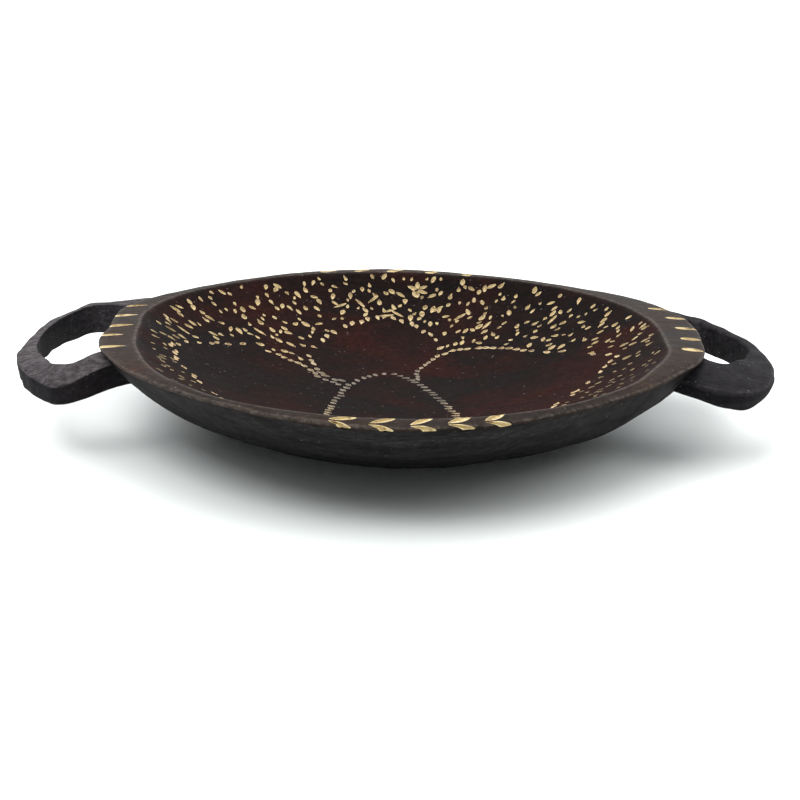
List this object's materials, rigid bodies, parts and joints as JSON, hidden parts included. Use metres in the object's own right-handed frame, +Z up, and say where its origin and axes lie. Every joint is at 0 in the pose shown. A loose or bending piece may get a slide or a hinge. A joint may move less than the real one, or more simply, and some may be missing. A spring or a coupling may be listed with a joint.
{
  "type": "carved wooden bowl",
  "caption": "Shallow round carved serving bowl of dark wood with a loop handle at each side and pale gouged patterns on the rim and inside.",
  "frame": {"origin": "centre of the flat face the bowl rests on", "axes": "+Z up; X runs through the two handles, +X to the right handle as pictured; +Y away from the viewer, so the front rim is at -Y"},
  "size_m": [0.4623, 0.366, 0.058],
  "materials": {
    "dark_wood": "near-black stained and waxed carved wood, satin, faint red-brown grain",
    "rim_wood": "stained wood rubbed lighter and greyer on the rim, satin",
    "handle_wood": "stained wood with knife facets, dull satin",
    "bare_wood": "bare straw-coloured wood in fresh gouge cuts, matt",
    "dull_bare_wood": "bare wood in shallow gouge cuts, partly greyed by stain, matt"
  },
  "bodies": {
    "root": {"bowl_body": "dark_wood", "rim_band": "rim_wood", "handle_left": "handle_wood", "handle_right": "handle_wood", "chevrons_front": "bare_wood", "chevrons_back": "bare_wood", "notches_left": "bare_wood", "notches_right": "bare_wood", "ring_line_west": "dull_bare_wood", "ring_line_east": "dull_bare_wood", "ring_line_north": "dull_bare_wood", "ring_line_south": "dull_bare_wood", "chip_field_north_west": "bare_wood", "chip_field_north_east": "bare_wood", "chip_field_south_west": "bare_wood", "chip_field_south_east": "bare_wood"}
  },
  "joints": []
}
